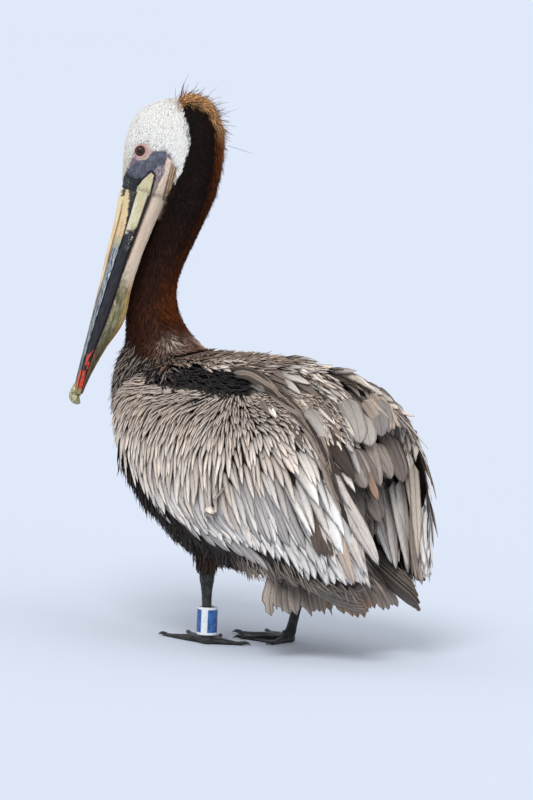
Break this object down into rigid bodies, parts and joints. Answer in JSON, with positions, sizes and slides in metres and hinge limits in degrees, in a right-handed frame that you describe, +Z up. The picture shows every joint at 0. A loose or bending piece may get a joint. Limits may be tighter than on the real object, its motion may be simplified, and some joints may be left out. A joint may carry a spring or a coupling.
{
  "type": "brown pelican",
  "caption": "Life-size standing brown pelican with folded wings, head turned to its left, long bill laid down along the neck, webbed feet and a plain leg band.",
  "frame": {"origin": "on the ground, under the middle of the bird's whole outline seen from above", "axes": "+Z up, the body faces -Y, the bird's left side is +X"},
  "size_m": [0.2552, 0.5322, 0.763],
  "materials": {
    "white_plumage": "dense short white feathers",
    "neck_plumage": "velvety dark chestnut feathers",
    "dark_plumage": "loose black-brown feathers",
    "wing_plumage": "silvery grey-brown feathers with dark edges",
    "flight_feathers": "stiff dark feathers",
    "eye": "wet, dark brown",
    "bill_horn": "smooth horn, tan, cream and black",
    "bill_nail": "smooth yellowish horn",
    "bare_skin": "bare creased skin",
    "leg_skin": "scaly near-black skin",
    "claw_horn": "smooth dark horn",
    "band": "blue plastic with a white rim, no lettering"
  },
  "bodies": {
    "root": {"head": "white_plumage", "neck_upper": "neck_plumage", "neck_lower": "neck_plumage", "trunk": "dark_plumage", "shank_left": "dark_plumage", "shank_right": "dark_plumage", "wing_left": "wing_plumage", "wing_right": "wing_plumage", "primaries_left": "flight_feathers", "primaries_right": "flight_feathers", "tail": "wing_plumage", "eye_left": "eye", "eye_right": "eye", "bill_upper": "bill_horn", "bill_lower": "bill_horn", "bill_nail": "bill_nail", "bill_pouch": "bare_skin", "tarsus_left": "leg_skin", "tarsus_right": "leg_skin", "foot_left": "leg_skin", "foot_right": "leg_skin", "claw_left_outer": "claw_horn", "claw_left_middle": "claw_horn", "claw_left_inner": "claw_horn", "claw_left_hind": "claw_horn", "claw_right_outer": "claw_horn", "claw_right_middle": "claw_horn", "claw_right_inner": "claw_horn", "claw_right_hind": "claw_horn", "leg_band": "band"}
  },
  "joints": []
}
